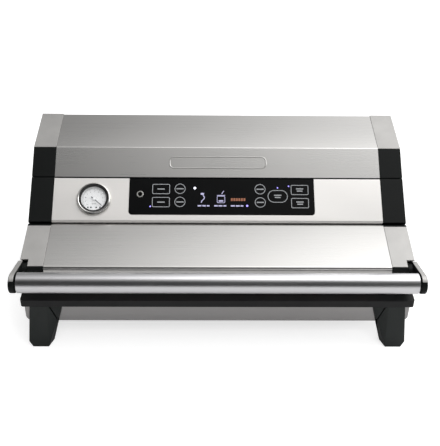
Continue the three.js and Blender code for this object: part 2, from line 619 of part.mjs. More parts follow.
/** One arm: a link from the pivot to the bar, with its hub, the plug in the bar's end and the hook. */
function handleArm() {
  const lean = new THREE.Matrix4().makeShear(0, 0, -ARM_SPLAY, 0, 0, 0);
  const link = linkOutline(PIVOT, ARM_BACK, BAR, BAR_RADIUS + 0.4);
  const plate = acrossX(link, BAR_HALF + GAP, BAR_HALF + GAP + ARM_THICK);
  lean.setPosition(ARM_SPLAY * (BAR[0] + BAR_RADIUS), 0, 0);
  plate.applyMatrix4(lean);
  const hub = rod('x', HUB, NOTCH_IN + 0.5, BAR_HALF + 1, PIVOT, 28);
  const plug = rod('x', BAR_RADIUS - BAR_WALL - GAP, BAR_HALF - 12, BAR_HALF + 4, BAR, 28);
  const finger = [...arc(PIVOT, HOOK.outer, HOOK.from, HOOK.tip, 8),
    ...arc(PIVOT, HOOK.inner, HOOK.tip, HOOK.from + 12, 6),
    ...arc(PIVOT, HUB - 2, HOOK.from + 20, HOOK.from - 8, 2)];
  const bore = rod('x', PIVOT_PIN + GAP, NOTCH_IN - 1, BAR_HALF - 0.5, PIVOT, 24);
  return cut(join(plate, hub, plug, acrossX(finger, ...HOOK.x)), bore);
}

/** A U-shaped lug on the tray with the cross pin that the hook catches. */
function striker() {
  const [y, z] = STRIKER;
  const cheek = (x0, x1) => block([x0, x1], [y - 3, y + 3], [TRAY_TOP + GAP, z + 3]);
  const foot = block([204.4, HALF - 0.2], [y - 3, y + 3], [TRAY_TOP + GAP, TRAY_TOP + 1.9]);
  return join(foot, cheek(204.4, 206.2), cheek(212.8, HALF - 0.2), rod('x', 2, 205, HALF - 1, STRIKER, 20));
}

function addHandle(lid, machine) {
  const handle = new THREE.Group();
  lid.add(handle);
  const tube = cut(rod('x', BAR_RADIUS, -BAR_HALF, BAR_HALF, BAR, 48),
    rod('x', BAR_RADIUS - BAR_WALL, -BAR_HALF - 1, BAR_HALF + 1, BAR, 48));
  add(handle, 'handle_tube', tube, steel());
  addPair(handle, 'handle_arm', handleArm(), black);
  addPair(machine, 'striker', striker(), zinc);
}

// ---------------------------------------------------------------- the machine

const machine = new THREE.Group();
addBase(machine);
addHood(machine);
addShell(machine);
addConsole(machine);
addInside(machine);
addHandle(addLid(machine), machine);

export default machine;
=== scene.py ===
"""A countertop vacuum sealer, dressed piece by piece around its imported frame.

Everything is in metres, with +X to the user's right, +Y to the back of the machine and +Z up.
Places come from the frame: the console's own axes are those of the gauge needle's joint, and each
piece is sized from the box of the CAD node that it stands for. A piece with no outline of its own
is a merged copy of its CAD node with rounded edges.
"""
import json
import math

import bmesh
import bpy
import numpy as np
from mathutils import Matrix, Vector

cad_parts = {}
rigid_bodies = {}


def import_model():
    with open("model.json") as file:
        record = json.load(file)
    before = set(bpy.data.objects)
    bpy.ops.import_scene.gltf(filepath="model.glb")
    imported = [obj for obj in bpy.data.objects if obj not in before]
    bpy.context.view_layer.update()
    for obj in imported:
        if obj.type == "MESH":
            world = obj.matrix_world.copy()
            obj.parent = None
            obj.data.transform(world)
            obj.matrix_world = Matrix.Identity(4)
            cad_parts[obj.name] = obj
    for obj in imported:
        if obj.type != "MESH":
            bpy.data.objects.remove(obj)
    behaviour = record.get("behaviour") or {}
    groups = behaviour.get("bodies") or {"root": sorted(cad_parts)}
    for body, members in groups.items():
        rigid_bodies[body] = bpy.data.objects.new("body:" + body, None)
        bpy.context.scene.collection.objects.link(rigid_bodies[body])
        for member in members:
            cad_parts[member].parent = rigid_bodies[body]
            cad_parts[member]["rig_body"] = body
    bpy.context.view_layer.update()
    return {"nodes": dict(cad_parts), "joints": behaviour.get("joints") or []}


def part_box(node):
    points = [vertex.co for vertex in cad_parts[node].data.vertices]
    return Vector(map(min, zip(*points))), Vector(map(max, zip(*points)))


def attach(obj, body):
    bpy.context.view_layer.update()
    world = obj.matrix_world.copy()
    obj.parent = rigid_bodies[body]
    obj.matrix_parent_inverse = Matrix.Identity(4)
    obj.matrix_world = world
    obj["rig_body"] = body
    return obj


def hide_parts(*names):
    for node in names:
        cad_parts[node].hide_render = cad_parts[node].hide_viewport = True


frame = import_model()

MM = 0.001
TURN = 2 * math.pi
SIDES = {"right": 1, "left": -1}
JOINTS = {joint["name"]: joint for joint in frame["joints"]}


# ---- places taken from the frame

def corners(name):
    """The lowest and highest corners of a CAD node, as arrays."""
    low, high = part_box(name)
    return np.array(low), np.array(high)


def cad_points(name):
    """All the vertices of a CAD node, one row each."""
    mesh = frame["nodes"][name].data
    flat = np.empty(len(mesh.vertices) * 3)
    mesh.vertices.foreach_get("co", flat)
    return flat.reshape(-1, 3)


class Slope:
    """A sloping face of the machine: across is +X, up runs up the slope and out leaves it."""

    def __init__(self, origin, out):
        self.out = np.array(out) / np.linalg.norm(out)
        self.across = np.array([1.0, 0.0, 0.0])
        self.up = np.cross(self.out, self.across)
        self.origin = np.array(origin, float)

    def place(self, local):
        """World points of [across, up, out] rows."""
        local = np.asarray(local, float)
        return self.origin + local @ np.array([self.across, self.up, self.out])

    def span(self, name):
        """A node's lowest and highest values in this face's own axes."""
        local = (cad_points(name) - self.origin) @ np.array([self.across, self.up, self.out]).T
        return local.min(axis=0), local.max(axis=0)


GAUGE = Slope(JOINTS["gauge_swing"]["pos_m"], JOINTS["gauge_swing"]["axis"])
CONSOLE = Slope(GAUGE.origin * [0, 1, 1], GAUGE.out)
HINGE = np.array(JOINTS["lid_hinge"]["pos_m"])
PIVOT = np.array(JOINTS["handle_press"]["pos_m"])
FAN_CENTRE = np.array(JOINTS["fan_spin"]["pos_m"])


# ---- mesh tools

WELD = 1e-6       # vertices nearer than this become one
FINE = "fine_"    # a piece named fine_ and a CAD node's name stands for that node


def finish_mesh(name, mesh, material, body="housing", slot=None, bevel=0.0, segments=3, crease=32):
    """Welds a mesh, points it outwards, rounds its edges and gives it its body and its material.

    The slot is not used.
    """
    replaces = (name.removeprefix(FINE),) if name.startswith(FINE) else ()
    work = bmesh.new()
    work.from_mesh(mesh)
    bmesh.ops.remove_doubles(work, verts=work.verts, dist=WELD)
    bmesh.ops.dissolve_degenerate(work, edges=work.edges, dist=WELD / 10)
    bmesh.ops.recalc_face_normals(work, faces=work.faces)
    work.to_mesh(mesh)
    work.free()
    mesh.shade_smooth()
    mesh.set_sharp_from_angle(angle=math.radians(crease))
    thing = bpy.data.objects.new(name, mesh)
    bpy.context.scene.collection.objects.link(thing)
    mesh.materials.clear()
    mesh.materials.append(MATERIALS[material])
    if bevel:
        rounding = thing.modifiers.new("rounding", "BEVEL")
        rounding.width = bevel
        rounding.segments = segments
        rounding.limit_method = "ANGLE"
        rounding.angle_limit = math.radians(crease)
        rounding.harden_normals = True
    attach(thing, body)
    if replaces:
        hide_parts(*replaces)
    return thing


def refined(name, material, slot=None, bevel=0.4 * MM, segments=3, crease=32, smooth=0):
    """A merged copy of a CAD node: its flat faces made whole, its edges rounded."""
    source = frame["nodes"][name]
    mesh = source.data.copy()
    mesh.name = FINE + name
    work = bmesh.new()
    work.from_mesh(mesh)
    bmesh.ops.remove_doubles(work, verts=work.verts, dist=2 * WELD)
    bmesh.ops.dissolve_limit(work, angle_limit=math.radians(0.6), verts=work.verts, edges=work.edges)
    work.to_mesh(mesh)
    work.free()
    thing = finish_mesh(FINE + name, mesh, material, source["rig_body"], slot, bevel, segments, crease)
    if smooth:
        round_off = thing.modifiers.new("round_off", "SUBSURF")
        round_off.levels = smooth
        round_off.render_levels = smooth
    return thing


class Gather:
    """Collects grids of points and the faces between them, and makes one mesh of them all."""

    def __init__(self):
        self.points, self.faces, self.count = [], [], 0

    def grid(self, grid, wrap_u=True, wrap_v=True, capped=False):
        """Adds grid[u, v]; a wrapped direction closes on itself, and caps close its first and last row."""
        rows, columns = grid.shape[:2]
        index = np.arange(rows * columns).reshape(rows, columns) + self.count
        if wrap_u and not capped:
            index = np.vstack([index, index[:1]])
        if wrap_v:
            index = np.hstack([index, index[:, :1]])
        quads = np.stack([index[:-1, :-1], index[:-1, 1:], index[1:, 1:], index[1:, :-1]], axis=-1)
        self.faces += quads.reshape(-1, 4).tolist()
        if capped:
            self.faces += [index[0, :-1].tolist()[::-1], index[-1, :-1].tolist()]
        self.points.append(grid.reshape(-1, 3))
        self.count += rows * columns
        return self

    def make(self, name, *looks, **finish):
        """One mesh of all that was gathered; the rest is what finish_mesh takes."""
        mesh = bpy.data.meshes.new(name)
        mesh.from_pydata(np.vstack(self.points), [], self.faces)
        return finish_mesh(name, mesh, *looks, **finish)


def loft(name, rings, *looks, **finish):
    """Rings of points joined in turn and closed by a face at each end."""
    return Gather().grid(np.asarray(rings), capped=True).make(name, *looks, **finish)


def circle(radius, steps, start=0.0, sweep=TURN, centre=(0, 0)):
    """Points on an arc, without its last one when it is a whole circle."""
    whole = abs(sweep - TURN) < 1e-9
    angle = start + sweep * np.arange(steps) / (steps if whole else steps - 1)
    return np.stack([centre[0] + radius * np.cos(angle), centre[1] + radius * np.sin(angle)], axis=1)


def round_rectangle(width, height, radius, steps=8, centre=(0, 0)):
    """A rectangle with quarter circles for corners, anticlockwise from its right side."""
    radius = max(min(radius, width / 2 - 1e-6, height / 2 - 1e-6), 1e-6)
    parts = []
    for quarter, (x, y) in enumerate([(1, 1), (-1, 1), (-1, -1), (1, -1)]):
        middle = (centre[0] + x * (width / 2 - radius), centre[1] + y * (height / 2 - radius))
        parts.append(circle(radius, steps, quarter * TURN / 4, TURN / 4, middle))
    return np.vstack(parts)


def lifted(outline, height):
    """A flat outline at one height."""
    return np.column_stack([outline, np.full(len(outline), height)])


def frame_band(outer, inner, low, high):
    """A flat frame between two outlines of equally many points, as a closed grid of four loops."""
    return np.stack([lifted(outer, low), lifted(outer, high), lifted(inner, high), lifted(inner, low)])


def turned(name, profile, steps, place, *looks, **finish):
    """A [radius, height] profile turned about the local Z, which ends on the axis or closes on itself."""
    radius, height = np.asarray(profile, float).T[:, :, None]
    angle = TURN * np.arange(steps) / steps
    level = np.repeat(height, steps, axis=1)
    grid = np.stack([radius * np.cos(angle), radius * np.sin(angle), level], axis=-1)
    hollow = radius[0, 0] > 1e-9
    return Gather().grid(place(grid), wrap_u=hollow).make(name, *looks, **finish)


def tube_along(path, radius, around=20):
    """A round section carried along a path; each ring stands square to the path."""
    path = np.asarray(path, float)
    ahead = np.gradient(path, axis=0)
    ahead /= np.linalg.norm(ahead, axis=1, keepdims=True)
    side = np.cross(ahead, [0.31, 0.27, 0.91])
    side /= np.linalg.norm(side, axis=1, keepdims=True)
    rise = np.cross(ahead, side)
    angle = TURN * np.arange(around) / around
    radius = np.broadcast_to(radius, len(path))[:, None, None]
    return path[:, None] + radius * (np.cos(angle)[None, :, None] * side[:, None]
                                     + np.sin(angle)[None, :, None] * rise[:, None])


def turned_frame(origin, axis):
    """A placing function whose local Z is the given axis."""
    spin = Vector((0, 0, 1)).rotation_difference(Vector(axis)).to_matrix()
    basis = np.array(spin)
    return lambda local: np.asarray(local) @ basis.T + np.asarray(origin)


def rounded_profile(points, radius, steps=6):
    """A closed profile with each corner replaced by a smooth curve: a quadratic Bezier of that reach."""
    points = np.asarray(points, float)
    out = []
    for before, corner, after in zip(np.roll(points, 1, axis=0), points, np.roll(points, -1, axis=0)):
        back, ahead = before - corner, after - corner
        back *= min(radius / np.linalg.norm(back), 0.48)
        ahead *= min(radius / np.linalg.norm(ahead), 0.48)
        t = np.linspace(0, 1, steps)[:, None]
        out.append((1 - t) ** 2 * (corner + back) + 2 * t * (1 - t) * corner + t ** 2 * (corner + ahead))
    return np.vstack(out)


# ---- effects shared by materials

FLOAT = "NodeSocketFloat"
BAND_PITCH = 3.14    # a wave texture's scale times the width of its bands


def feed(tree, socket, value):
    """Links a socket to an output, or sets it to a plain value."""
    if isinstance(value, bpy.types.NodeSocket):
        tree.links.new(value, socket)
    else:
        socket.default_value = value


def node(tree, kind, values=None, **settings):
    """Adds a node with its settings by name and its inputs, set or linked, by name or number."""
    made = tree.nodes.new(kind)
    for key, value in settings.items():
        setattr(made, key, value)
    for key, value in (values or {}).items():
        feed(tree, made.inputs[key], value)
    return made


def calculate(tree, operation, *values):
    """A Math node on sockets or plain numbers."""
    return node(tree, "ShaderNodeMath", dict(enumerate(values)), operation=operation).outputs[0]


def stretched_noise(tree, vector, scale, detail):
    """Noise on a vector scaled by its own amount along each axis."""
    scaled = node(tree, "ShaderNodeMapping", {"Vector": vector, "Scale": scale}).outputs["Vector"]
    return node(tree, "ShaderNodeTexNoise", {"Vector": scaled, "Scale": 1.0, "Detail": detail}).outputs["Fac"]


def group(name, outputs, **settings):
    """A node group: a Vector and the named settings go in, the named values come out."""
    tree = bpy.data.node_groups.new(name, "ShaderNodeTree")
    tree.interface.new_socket("Vector", in_out="INPUT", socket_type="NodeSocketVector")
    for title, default in settings.items():
        tree.interface.new_socket(title, in_out="INPUT", socket_type=FLOAT).default_value = default
    for title in outputs:
        tree.interface.new_socket(title, in_out="OUTPUT", socket_type=FLOAT)
    return tree, tree.nodes.new("NodeGroupInput").outputs, tree.nodes.new("NodeGroupOutput").inputs


def make_brushing():
    """Fine lines along X: hair-fine and coarse for the height, with a slow drift added for the tone."""
    tree, given, result = group("brushing", ("Height", "Tone"))
    vector = given["Vector"]
    hair = stretched_noise(tree, vector, (4, 3200, 3200), 1.0)
    coarse = stretched_noise(tree, vector, (0.6, 1100, 1100), 1.0)
    drift = stretched_noise(tree, vector, (8, 14, 14), 2.0)
    lines = calculate(tree, "MULTIPLY_ADD", coarse, 0.3, calculate(tree, "MULTIPLY", hair, 0.7))
    half = calculate(tree, "MULTIPLY", lines, 0.5)
    feed(tree, result["Height"], lines)
    feed(tree, result["Tone"], calculate(tree, "MULTIPLY_ADD", drift, 0.5, half))
    return tree


def make_moulding():
    """The pebbled skin of a moulded plastic: small cells over a slow waviness."""
    tree, given, result = group("moulding", ("Height", "Tone"), Pebble=2600.0)
    vector = given["Vector"]
    values = {"Vector": vector, "Scale": given["Pebble"], "Smoothness": 0.6}
    cells = node(tree, "ShaderNodeTexVoronoi", values, feature="SMOOTH_F1").outputs["Distance"]
    wave = stretched_noise(tree, vector, (38, 38, 38), 2.0)
    share = calculate(tree, "MULTIPLY", cells, 0.3)
    feed(tree, result["Height"], cells)
    feed(tree, result["Tone"], calculate(tree, "MULTIPLY_ADD", wave, 0.7, share))
    return tree


def make_handling():
    """Faint wiped patches and specks of dust, as a mask from 0 to 1."""
    tree, given, result = group("handling", ("Mask",), Patch=26.0)
    vector = given["Vector"]
    patch = node(tree, "ShaderNodeTexNoise", {"Vector": vector, "Scale": given["Patch"], "Detail": 4.0,
                                              "Roughness": 0.62, "Distortion": 0.8}).outputs["Fac"]
    specks = node(tree, "ShaderNodeTexVoronoi", {"Vector": vector, "Scale": 190.0}).outputs["Distance"]
    wiped, near = (node(tree, "ShaderNodeMapRange", {"Value": value, "From Min": low, "From Max": high})
                   for value, low, high in ((patch, 0.42, 0.72), (specks, 0.16, 0.05)))
    both = calculate(tree, "MULTIPLY_ADD", near.outputs["Result"], 0.35, wiped.outputs["Result"])
    feed(tree, result["Mask"], node(tree, "ShaderNodeClamp", {"Value": both}).outputs["Result"])
    return tree


BRUSHING = make_brushing()
MOULDING = make_moulding()
HANDLING = make_handling()


MATERIALS = {}    # by the name asked for: Blender numbers a name that the frame already uses


class Finish:
    """A material being built: one Principled BSDF fed by maps on Object coordinates."""

    def __init__(self, name, base, roughness, metallic=0.0, **sockets):
        self.material = MATERIALS[name] = bpy.data.materials.new(name)
        self.material.use_nodes = True
        self.tree = self.material.node_tree
        self.base = base
        self.put(**{"Base_Color": (*base, 1), "Roughness": roughness, "Metallic": metallic, **sockets})
        self.place = node(self.tree, "ShaderNodeTexCoord").outputs["Object"]

    def put(self, **sockets):
        """Sets or links the shader's own sockets; an underscore stands for a space."""
        for key, value in sockets.items():
            feed(self.tree, self.tree.nodes["Principled BSDF"].inputs[key.replace("_", " ")], value)

    def effect(self, tree, **values):
        """Places a shared effect on Object coordinates, with its own values."""
        return node(self.tree, "ShaderNodeGroup", {"Vector": self.place, **values}, node_tree=tree).outputs

    def noise(self, scale, detail):
        """Noise on Object coordinates, scaled alike along each axis."""
        return stretched_noise(self.tree, self.place, (scale, scale, scale), detail)

    def bands(self, axis, period, distortion=0.0):
        """Parallel bands across one axis, from 0 to 1."""
        values = {"Vector": self.place, "Scale": 1 / period / BAND_PITCH, "Distortion": distortion}
        wave = node(self.tree, "ShaderNodeTexWave", values, wave_type="BANDS", bands_direction=axis)
        return wave.outputs["Fac"]

    def roughness(self, mask, low, high):
        """Roughness from one value to another along a mask."""
        spread = node(self.tree, "ShaderNodeMapRange", {"Value": mask, "To Min": low, "To Max": high})
        self.put(Roughness=spread.outputs["Result"])

    def tint(self, mask, low, high):
        """Base colour from one tone to another, as factors of the base, alike or one for each channel."""
        first, last = ((*np.clip(np.array(self.base) * factor, 0, 1), 1) for factor in (low, high))
        mix = node(self.tree, "ShaderNodeMix", {"Factor": mask, "A": first, "B": last}, data_type="RGBA")
        self.put(Base_Color=mix.outputs["Result"])

    def bump(self, height, strength, distance):
        """A normal tilted by a height map whose full height is the distance."""
        values = {"Height": height, "Strength": strength, "Distance": distance}
        self.put(Normal=node(self.tree, "ShaderNodeBump", values).outputs["Normal"])


WARM_EDGE, COOL_EDGE = np.array([1.02, 1.0, 0.985]), np.array([1.0, 1.012, 1.02])


def brushed(name, base, roughness, depth=0.12, shade=0.06, metallic=1.0):
    """Sheet metal brushed along X, a little cooler in its darker lines."""
    finish = Finish(name, base, roughness, metallic)
    lines = finish.effect(BRUSHING)
    finish.tint(lines["Tone"], COOL_EDGE * (1 - shade), WARM_EDGE * (1 + shade))
    finish.roughness(lines["Tone"], roughness - 0.05, roughness + 0.06)
    finish.bump(lines["Height"], depth, 0.05 * MM)


def moulded(name, base, roughness, pebble=2600.0, depth=0.25, **sockets):
    """Moulded plastic with a fine pebbled skin and a few wiped patches."""
    finish = Finish(name, base, roughness, **sockets)
    skin = finish.effect(MOULDING, Pebble=pebble)
    finish.tint(skin["Tone"], 0.82, 1.25)
    finish.roughness(finish.effect(HANDLING, Patch=22.0)["Mask"], roughness - 0.03, roughness + 0.08)
    finish.bump(skin["Height"], depth, 0.06 * MM)


def cast(name, base, roughness, metallic, grain=700.0, depth=0.4):
    """Cast, plated or painted metal: a fine uneven surface."""
    finish = Finish(name, base, roughness, metallic)
    cloud = finish.noise(45, 3.0)
    finish.tint(cloud, 0.88, 1.12)
    finish.roughness(cloud, roughness - 0.08, roughness + 0.1)
    finish.bump(finish.noise(grain, 4.0), depth, 0.05 * MM)


def banded(name, base, dark, axis, period, roughness, metallic):
    """Stacked or printed stock: bands of two tones across one axis, such as laminations or tracks."""
    finish = Finish(name, base, roughness, metallic)
    wave = finish.bands(axis, period, 0.4)
    finish.tint(wave, dark, 1.1)
    finish.bump(wave, 0.5, 0.15 * MM)


def woven(name, base, roughness, thread):
    """Glass cloth coated with PTFE: two sets of threads crossing."""
    finish = Finish(name, base, roughness)
    cloth = calculate(finish.tree, "MULTIPLY", *(finish.bands(axis, thread) for axis in "XY"))
    finish.tint(cloth, 0.75, 1.2)
    finish.bump(cloth, 0.5, 0.08 * MM)


def glowing(name, colour, strength):
    """A lit legend or lamp under the display's glass."""
    finish = Finish(name, colour, 0.4, Emission_Strength=strength, Emission_Color=(*colour, 1))
    finish.tint(finish.noise(900, 1.0), 0.9, 1.05)


def glass(name, base, roughness, patch, low, high, **sockets):
    """Glass with faint wipe marks in its gloss."""
    finish = Finish(name, base, roughness, **sockets)
    finish.roughness(finish.effect(HANDLING, Patch=patch)["Mask"], low, high)


brushed("steel_covers", (0.60, 0.594, 0.582), 0.28, depth=0.02, shade=0.06)
# A lighter, less metallic copy of the cover steel for the console: painted light.
brushed("steel_console_painted_light", (0.78, 0.765, 0.745), 0.36, depth=0.02, metallic=0.5)
# A darker, rougher copy of the cover steel for the lower sheets: painted shade.
brushed("steel_lower", (0.42, 0.412, 0.412), 0.4)
moulded("silver_trim", (0.45, 0.442, 0.43), 0.42, pebble=3600.0, depth=0.08, Metallic=0.65)
moulded("black_caps", (0.006, 0.0068, 0.0066), 0.38, pebble=3000.0, depth=0.18,
       Specular_IOR_Level=0.13)
moulded("black_base", (0.010, 0.0102, 0.0108), 0.5, Specular_IOR_Level=0.3)
moulded("leg_plastic", (0.013, 0.0165, 0.0155), 0.42, depth=0.2, Specular_IOR_Level=0.35)
moulded("black_rubber", (0.015, 0.015, 0.015), 0.72, pebble=1500.0, depth=0.4)
moulded("gasket_foam", (0.022, 0.022, 0.023), 0.88, pebble=1100.0, depth=0.9)
moulded("silicone_strip", (0.30, 0.028, 0.02), 0.5, pebble=1700.0, depth=0.2)
brushed("bar_tube", (0.79, 0.79, 0.81), 0.32, depth=0.015, shade=0.02)
brushed("bezel_chrome", (0.72, 0.715, 0.70), 0.22, depth=0.02, shade=0.02)
cast("zinc_plate", (0.42, 0.42, 0.40), 0.38, 0.9)
moulded("dial_white", (0.80, 0.81, 0.83), 0.55, pebble=5200.0, depth=0.05)
glass("gauge_window", (0.97, 0.985, 0.99), 0.02, 120.0, 0.01, 0.05, IOR=1.45, Alpha=0.1)
moulded("needle_black", (0.018, 0.022, 0.034), 0.4, depth=0.05)
glass("display_black", (0.002, 0.0022, 0.0024), 0.12, 34.0, 0.10, 0.24,
      Specular_IOR_Level=0.12)
banded("circuit_board", (0.02, 0.11, 0.045), 0.8, "X", 6 * MM, 0.5, 0.0)
cast("pump_metal", (0.36, 0.36, 0.37), 0.5, 0.85, grain=420.0, depth=0.8)
cast("motor_steel", (0.45, 0.45, 0.46), 0.34, 1.0, grain=1500.0, depth=0.2)
banded("core_iron", (0.16, 0.15, 0.15), 0.35, "Y", 0.9 * MM, 0.55, 0.8)
brushed("heater_strip", (0.52, 0.47, 0.42), 0.4)
woven("tape_cloth", (0.21, 0.14, 0.085), 0.5, 0.7 * MM)
glowing("legend_grey", (0.26, 0.27, 0.28), 0.08)
glowing("legend_white", (0.36, 0.35, 0.52), 0.45)
glowing("lamp_white", (0.85, 0.85, 1.0), 1.2)
glowing("lamp_violet", (0.32, 0.27, 0.95), 1.2)
glowing("lamp_amber", (0.24, 0.085, 0.04), 0.25)
moulded("dial_ink", (0.03, 0.035, 0.045), 0.6, depth=0.05)


# ---- camera, light and floor

CAMERA_PLACE = (-0.0136, -0.7660, 0.6342)
CAMERA_TURN = (1.23, 35.02, 0.91)    # azimuth, elevation and roll in degrees
CAMERA_LENS, SENSOR = 64.57, 36      # in millimetres


def make_camera():
    """Looks down at the front of the machine, a hair to one side and a hair rolled."""
    azimuth, elevation, roll = (math.radians(angle) for angle in CAMERA_TURN)
    look = Vector((math.sin(azimuth) * math.cos(elevation), math.cos(azimuth) * math.cos(elevation),
                   -math.sin(elevation)))
    camera = bpy.data.objects.new("camera", bpy.data.cameras.new("camera"))
    camera.data.lens, camera.data.sensor_width = CAMERA_LENS, SENSOR
    camera.rotation_mode = "QUATERNION"
    camera.rotation_quaternion = look.to_track_quat("-Z", "Y") @ Matrix.Rotation(roll, 3, "Z").to_quaternion()
    camera.location = CAMERA_PLACE
    bpy.context.scene.collection.objects.link(camera)
    bpy.context.scene.camera = camera


def ramp(tree, value, stops):
    """A colour ramp of (place, grey) stops."""
    made = node(tree, "ShaderNodeValToRGB", {"Fac": value})
    bands = made.color_ramp.elements
    while len(bands) < len(stops):
        bands.new(0.5)
    for band, (place, grey) in zip(bands, stops):
        band.position = place
        band.color = (grey, grey, grey, 1)
    return made.outputs["Color"]


# Greys of the tent: over the top from the front horizon to the rear one, and from left to right.
OVER = [(0.0, 0.05), (0.06, 0.006), (0.32, 0.012), (0.37, 0.13), (0.42, 0.27), (0.465, 0.45), (0.49, 1.0),
        (0.53, 1.0), (0.57, 0.62), (0.68, 0.50), (0.76, 0.31), (1.0, 0.30)]
SIDEWAYS = [(0.0, 0.06), (0.34, 0.09), (0.44, 0.21), (0.51, 0.37), (0.58, 0.56), (0.68, 0.72), (1.0, 0.72)]
TENT_STRENGTH = 6.0


def make_world():
    """A soft tent of light: dark towards the camera, bright overhead, brighter to the right.

    The turn from the front horizon over the top to the rear one gives the first ramp, and the
    sideways lean of the direction gives the second.
    """
    world = bpy.data.worlds.new("studio")
    bpy.context.scene.world = world
    world.use_nodes = True
    tree = world.node_tree
    place = node(tree, "ShaderNodeTexCoord").outputs["Generated"]
    axes = node(tree, "ShaderNodeSeparateXYZ", {0: place}).outputs
    front = calculate(tree, "MULTIPLY", axes["Y"], -1.0)
    turn = calculate(tree, "DIVIDE", calculate(tree, "ARCTAN2", axes["Z"], front), math.pi)
    lean = calculate(tree, "MULTIPLY_ADD", axes["X"], 0.5, 0.5)
    values = {"Factor": 1.0, "A": ramp(tree, turn, OVER), "B": ramp(tree, lean, SIDEWAYS)}
    lit = node(tree, "ShaderNodeMix", values, data_type="RGBA", blend_type="MULTIPLY")
    tent = tree.nodes["Background"]
    tent.inputs["Strength"].default_value = TENT_STRENGTH
    feed(tree, tent.inputs["Color"], lit.outputs["Result"])
    plain = node(tree, "ShaderNodeBackground", {"Color": (1, 1, 1, 1), "Strength": 1.0})
    seen = node(tree, "ShaderNodeLightPath").outputs["Is Camera Ray"]
    both = node(tree, "ShaderNodeMixShader", {0: seen, 1: tent.outputs[0], 2: plain.outputs[0]})
    feed(tree, tree.nodes["World Output"].inputs["Surface"], both.outputs[0])


def make_lamp(name, place, size, power):
    """A rectangular softbox aimed at the machine, too soft to be mirrored in it."""
    lamp = bpy.data.objects.new(name, bpy.data.lights.new(name, "AREA"))
    lamp.data.shape = "RECTANGLE"
    lamp.data.size, lamp.data.size_y = size
    lamp.data.energy = power
    lamp.location = place
    aim = Vector((0, 0, 0.1)) - Vector(place)
    lamp.rotation_euler = aim.to_track_quat("-Z", "Y").to_euler()
    lamp.visible_glossy = False
    bpy.context.scene.collection.objects.link(lamp)


FLOOR_GREY, FLOOR_LIFT, FLOOR_REACH = 0.60, 0.68, 9.0


def make_floor():
    """A pale matt floor that the camera sees lighter than it lights the machine."""
    finish = Finish("floor", (FLOOR_GREY,) * 3, 0.9, Specular_IOR_Level=0.0, Emission_Color=(1, 1, 1, 1))
    seen = node(finish.tree, "ShaderNodeLightPath").outputs["Is Camera Ray"]
    finish.put(Emission_Strength=calculate(finish.tree, "MULTIPLY", seen, FLOOR_LIFT))
    mesh = bpy.data.meshes.new("floor")
    reach = FLOOR_REACH
    mesh.from_pydata([(-reach, -reach, 0), (reach, -reach, 0), (reach, reach, 0), (-reach, reach, 0)],
                     [], [(0, 1, 2, 3)])
    mesh.materials.append(finish.material)
    floor = bpy.data.objects.new("floor", mesh)
    bpy.context.scene.collection.objects.link(floor)


make_camera()
make_world()
make_lamp("overhead_softbox", (0.25, -0.95, 1.5), (1.4, 1.2), 17)
make_floor()
bpy.context.scene.view_settings.view_transform = "Standard"


# ---- covers, caps and base

def make_sheet_metal():
    """The folded covers with sharp edges, and the back and lower sheets with their thin edges just broken."""
    for name in ("hood_cover", "lid_cover"):
        refined(name, "steel_covers", bevel=0, crease=25)
    # The console's steel is a lighter copy of the cover steel: painted light.
    refined("control_fascia", "steel_console_painted_light", "steel_covers", 0, crease=25)
    # The back and lower sheets wear the darker copy of the cover steel: painted shade.
    refined("rear_panel", "steel_lower", "steel_covers", 0.2 * MM, segments=2)
    for name in ("lower_body", "bottom_plate", "drip_tray"):
        refined(name, "steel_lower", bevel=0.25 * MM, segments=2)


def make_joint_strip():
    """A black strip behind the joint between hood and console, which keeps light out of the gap: painted
    shade standing in for the machine's overlapping flange.
    """
    front = corners("hood_cover")[0][1] + 5 * MM
    joint = corners("control_fascia")[1][2]
    reach = corners("control_fascia")[1][0] - 1 * MM
    section = round_rectangle(0.8 * MM, 9.4 * MM, 0.3 * MM, 4, (front + 0.4 * MM, joint - 2.2 * MM))
    loft("joint_strip", [across_x(section, x) for x in (-reach, reach)], "black_rubber")


def flat_face(name, towards):
    """The slope of a node's largest flat face that looks roughly one way."""
    mesh = frame["nodes"][name].data
    mesh.calc_loop_triangles()
    index = np.empty(len(mesh.loop_triangles) * 3, int)
    mesh.loop_triangles.foreach_get("vertices", index)
    triangles = cad_points(name)[index.reshape(-1, 3)]
    cross = np.cross(triangles[:, 1] - triangles[:, 0], triangles[:, 2] - triangles[:, 0])
    double_area = np.linalg.norm(cross, axis=1)
    facing = cross @ (np.array(towards) / np.linalg.norm(towards)) > 0.9 * double_area
    biggest = np.argmax(np.where(facing, double_area, 0))
    same = facing & (cross @ cross[biggest] > 0.9999 * double_area * double_area[biggest])
    middle = np.average(triangles[same].mean(axis=1), axis=0, weights=double_area[same])
    return Slope(middle, cross[biggest])


def make_badge():
    """An embossed outline in the middle of the band: a low rounded bead round a long rectangle."""
    band = flat_face("hood_cover", (0, -1, 0.6))
    bead = rounded_profile([(-0.9 * MM, -0.2 * MM), (0.9 * MM, -0.2 * MM), (0.35 * MM, 0.45 * MM),
                            (-0.35 * MM, 0.45 * MM)], 0.4 * MM)
    loops = [lifted(round_rectangle(112 * MM + 2 * out, 14 * MM + 2 * out, 5 * MM + out, 12,
                                    (-band.origin[0], 0)), level) for out, level in bead]
    Gather().grid(band.place(np.array(loops))).make("blank_badge", "steel_covers", crease=60)


def make_end_caps():
    for side in SIDES:
        for name in ("hood_end_cap", "console_end_cap", "lid_end_cap"):
            refined(f"{name}_{side}", "black_caps", bevel=0.5 * MM)
        for name in ("hood_trim", "lid_trim"):
            refined(f"{name}_{side}", "silver_trim", bevel=0.35 * MM)


